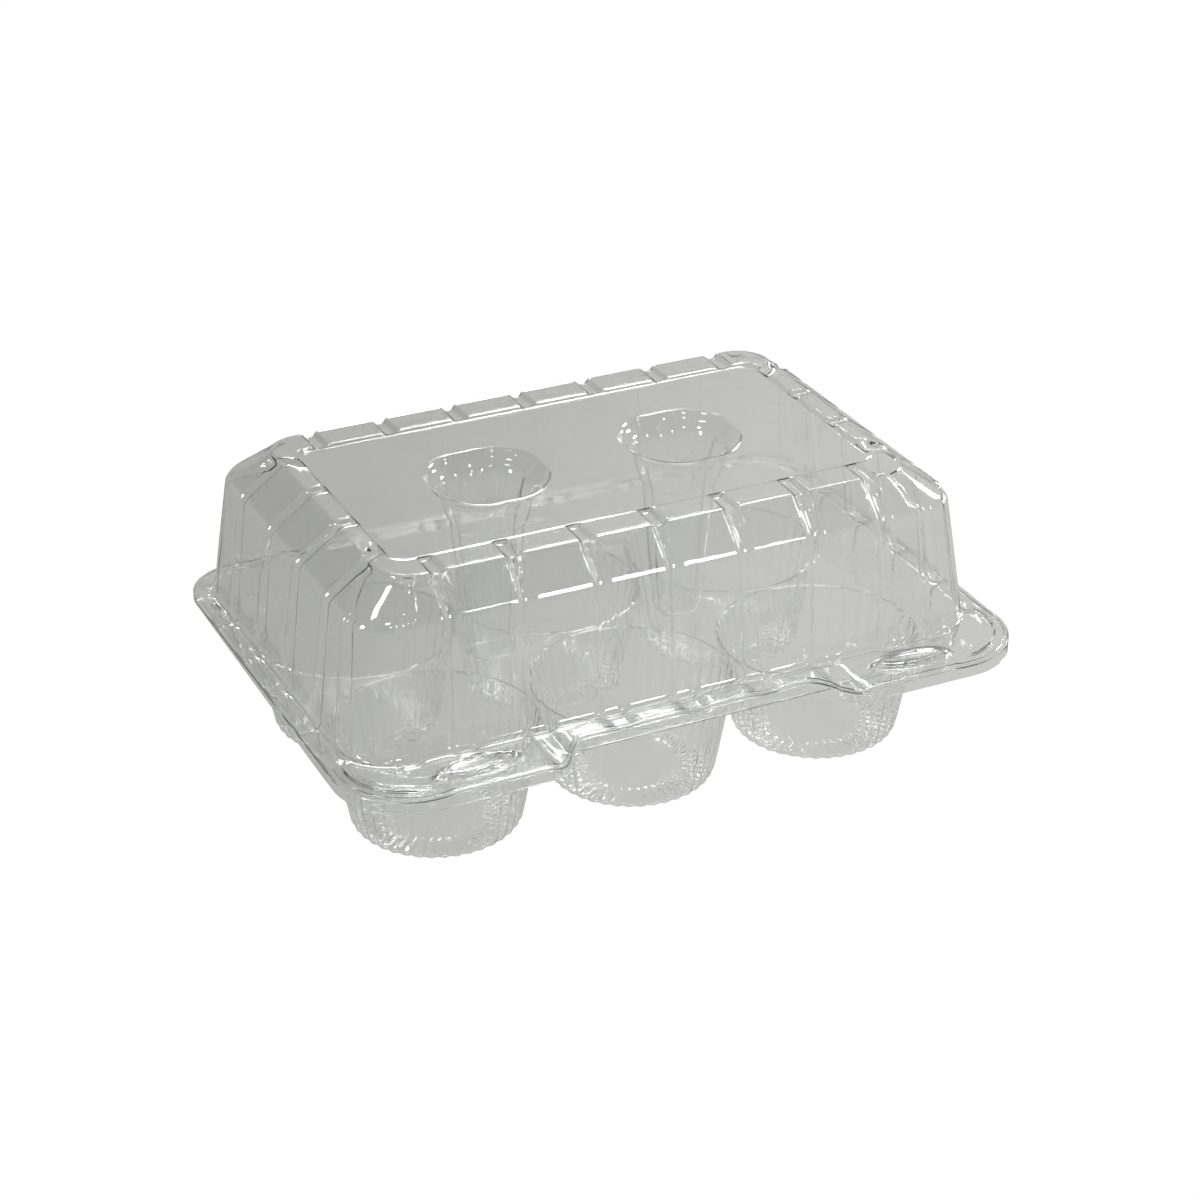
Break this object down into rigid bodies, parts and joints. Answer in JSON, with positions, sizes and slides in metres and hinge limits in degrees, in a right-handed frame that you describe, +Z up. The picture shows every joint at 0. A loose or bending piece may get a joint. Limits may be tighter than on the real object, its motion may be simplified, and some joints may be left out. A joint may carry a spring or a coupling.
{
  "type": "hinged egg carton clamshell",
  "caption": "Clear hinged clamshell pack with round fluted cups, a tall ribbed hood, hollow centre posts and snap lobes.",
  "frame": {"origin": "centre of the footprint, on the plane that the six cups stand on", "axes": "+X along the long side, +Y towards the hinge side, +Z up; the opening side with the two lobes faces -Y"},
  "size_m": [0.2444, 0.179, 0.104],
  "materials": {
    "clear_sheet": "clear thermoformed PET sheet, glossy"
  },
  "bodies": {
    "tray": {"tray_flange": "clear_sheet", "tray_well": "clear_sheet", "cup_front_left": "clear_sheet", "cup_front_middle": "clear_sheet", "cup_front_right": "clear_sheet", "cup_back_left": "clear_sheet", "cup_back_middle": "clear_sheet", "cup_back_right": "clear_sheet", "snap_stud_left": "clear_sheet", "snap_stud_right": "clear_sheet", "hinge_leaf_tray": "clear_sheet"},
    "lid": {"lid_flange": "clear_sheet", "lid_wall": "clear_sheet", "lid_shoulder": "clear_sheet", "lid_top": "clear_sheet", "post_left": "clear_sheet", "post_right": "clear_sheet", "snap_cap_left": "clear_sheet", "snap_cap_right": "clear_sheet", "hinge_leaf_lid": "clear_sheet"}
  },
  "joints": [
    {"name": "lid_hinge", "type": "hinge", "parent": "tray", "child": "lid", "pos_m": [0, 0.0898, 0.04805], "axis": [-1, 0, 0], "range_deg": [0, 160]}
  ]
}
